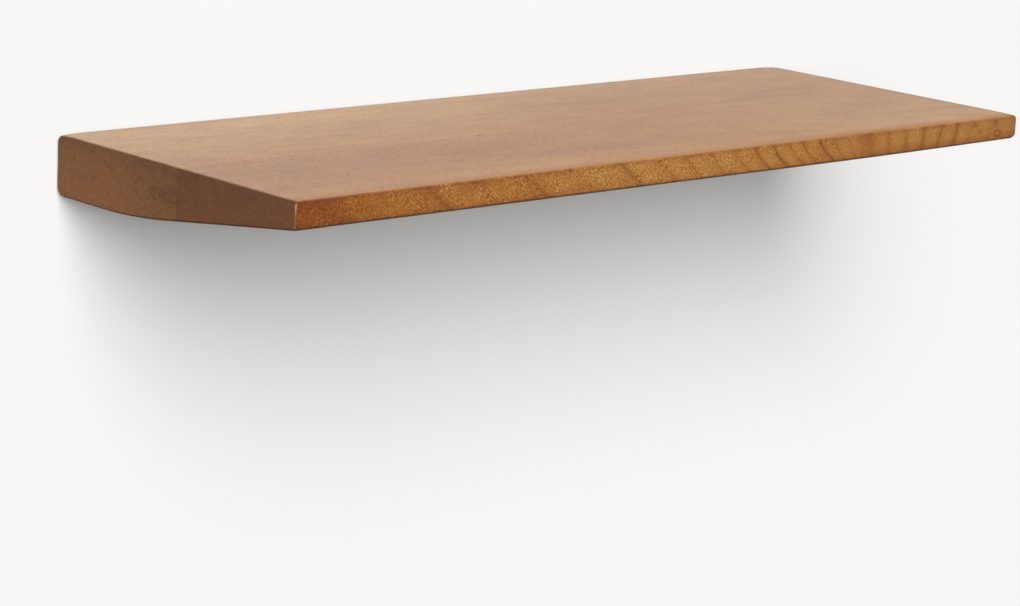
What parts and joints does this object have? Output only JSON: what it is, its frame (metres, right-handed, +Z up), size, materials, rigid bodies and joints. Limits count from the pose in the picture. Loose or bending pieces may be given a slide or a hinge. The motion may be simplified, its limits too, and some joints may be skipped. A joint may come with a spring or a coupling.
{
  "type": "wall shelf",
  "caption": "Solid wood floating wall shelf, thick at the wall and tapering to a thin front edge, on a concealed steel plate with rods.",
  "frame": {"origin": "middle of the wall plate's back face, on the plane of the wall", "axes": "+X along the shelf's length, to the right for a person who faces the wall, +Y into the wall, +Z up"},
  "size_m": [0.6096, 0.2286, 0.0373],
  "materials": {
    "rear_wood": "oiled, satin",
    "front_wood": "oiled, satin",
    "bracket_coat": "black powder coat",
    "insert_brass": "machined",
    "screw_steel": "zinc plated"
  },
  "bodies": {
    "bracket": {"wall_plate": "bracket_coat", "rod_left": "bracket_coat", "rod_middle": "bracket_coat", "rod_right": "bracket_coat", "weld_left": "bracket_coat", "weld_middle": "bracket_coat", "weld_right": "bracket_coat"},
    "shelf": {"rear_board": "rear_wood", "front_board": "front_wood", "lock_insert_left": "insert_brass", "lock_insert_right": "insert_brass", "lock_screw_left": "screw_steel", "lock_screw_right": "screw_steel"}
  },
  "joints": [
    {"name": "shelf_pull_off", "type": "slide", "parent": "bracket", "child": "shelf", "axis": [0, -1, 0], "range_m": [0, 0.112]}
  ]
}
